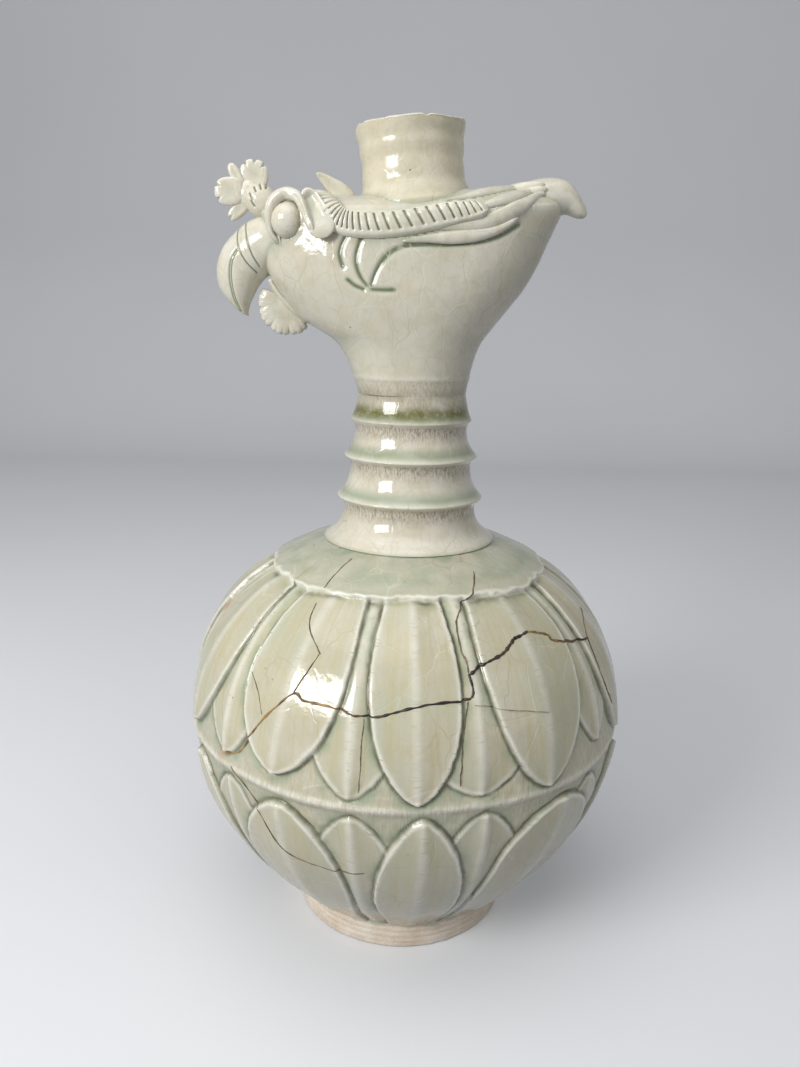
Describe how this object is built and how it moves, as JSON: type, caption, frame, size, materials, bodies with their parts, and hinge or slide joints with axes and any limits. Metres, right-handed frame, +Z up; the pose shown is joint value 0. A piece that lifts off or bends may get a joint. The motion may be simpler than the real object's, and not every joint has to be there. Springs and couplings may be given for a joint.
{
  "type": "phoenix-head ewer",
  "caption": "Celadon-glazed stoneware ewer: petal-carved globular belly, ridged neck and a crested bird's head with hooked beak that carries a flared filling cup.",
  "frame": {"origin": "on the surface the ewer stands on, at the middle of the foot ring", "axes": "+Z up along the pot's axis, the beak towards -X and the tail crest towards +X, the bird's left towards -Y"},
  "size_m": [0.2054, 0.2054, 0.3648],
  "materials": {
    "glaze": "gloss",
    "pale_glaze": "gloss",
    "biscuit": "matte"
  },
  "bodies": {
    "root": {"foot_ring": "biscuit", "lower_body": "glaze", "upper_body": "glaze", "neck": "glaze", "head_shell": "glaze", "filling_cup": "pale_glaze", "upper_beak": "pale_glaze", "lower_jaw": "pale_glaze", "wattle": "pale_glaze", "crest_knob": "pale_glaze", "crest_flower": "pale_glaze", "crown_leaf": "pale_glaze", "tail_crest": "pale_glaze", "eyeball_left": "pale_glaze", "eyeball_right": "pale_glaze", "brow_left": "pale_glaze", "brow_right": "pale_glaze", "ear_left": "pale_glaze", "ear_right": "pale_glaze", "feather_band_left": "pale_glaze", "feather_band_right": "pale_glaze", "plume_left_1": "pale_glaze", "plume_left_2": "pale_glaze", "plume_left_3": "pale_glaze", "plume_left_4": "pale_glaze", "plume_right_1": "pale_glaze", "plume_right_2": "pale_glaze", "plume_right_3": "pale_glaze", "plume_right_4": "pale_glaze"}
  },
  "joints": []
}
